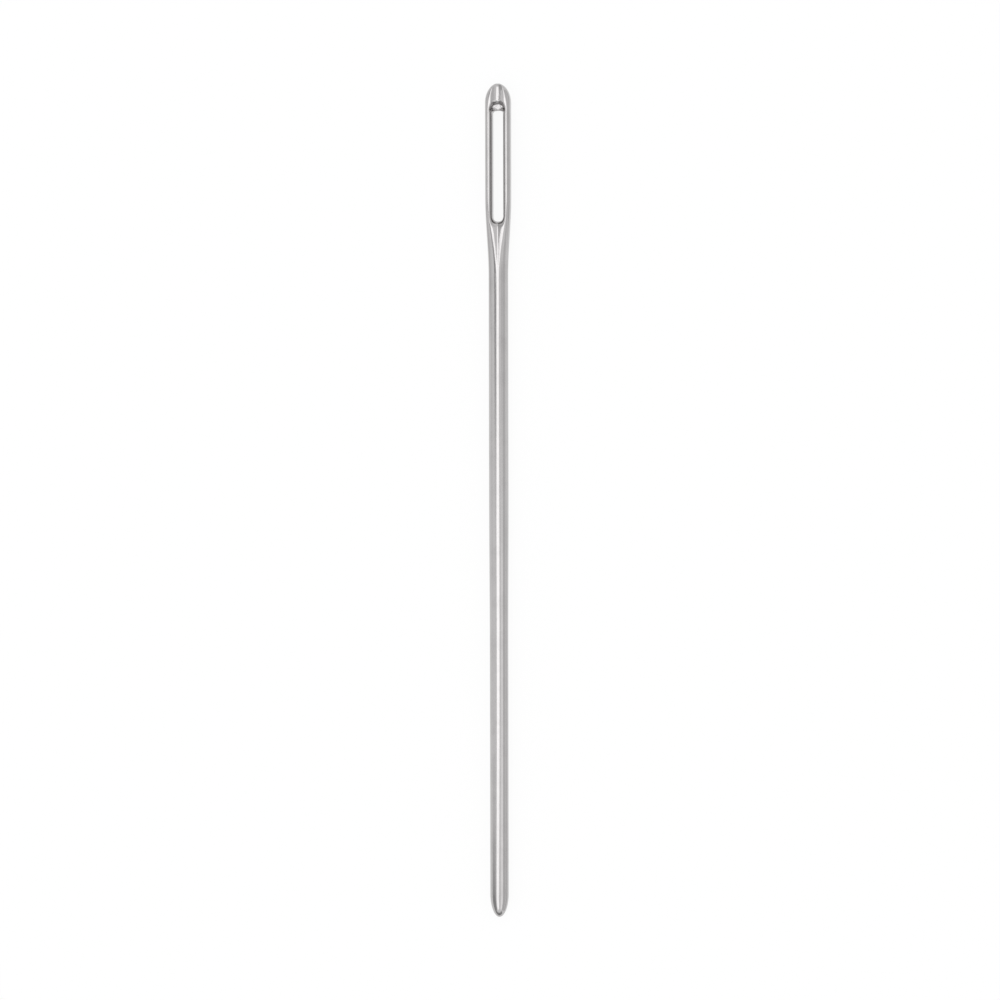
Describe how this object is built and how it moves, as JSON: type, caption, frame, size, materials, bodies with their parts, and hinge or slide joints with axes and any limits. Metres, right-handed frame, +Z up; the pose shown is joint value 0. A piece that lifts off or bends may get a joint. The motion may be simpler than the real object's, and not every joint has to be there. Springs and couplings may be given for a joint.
{
  "type": "yarn needle",
  "caption": "Steel needle for yarn and wool, with a long pressed eye in a guttered head, a round shaft and a blunt rounded point.",
  "frame": {"origin": "halfway along the needle's length and width, on the surface that it lies on", "axes": "+X along the needle towards the head, +Y across the flat of the head, +Z up through the eye"},
  "size_m": [0.07, 0.0022, 0.0016],
  "materials": {
    "polished_steel": "polished"
  },
  "bodies": {
    "root": {"crown": "polished_steel", "left_rim": "polished_steel", "right_rim": "polished_steel", "shaft": "polished_steel"}
  },
  "joints": []
}
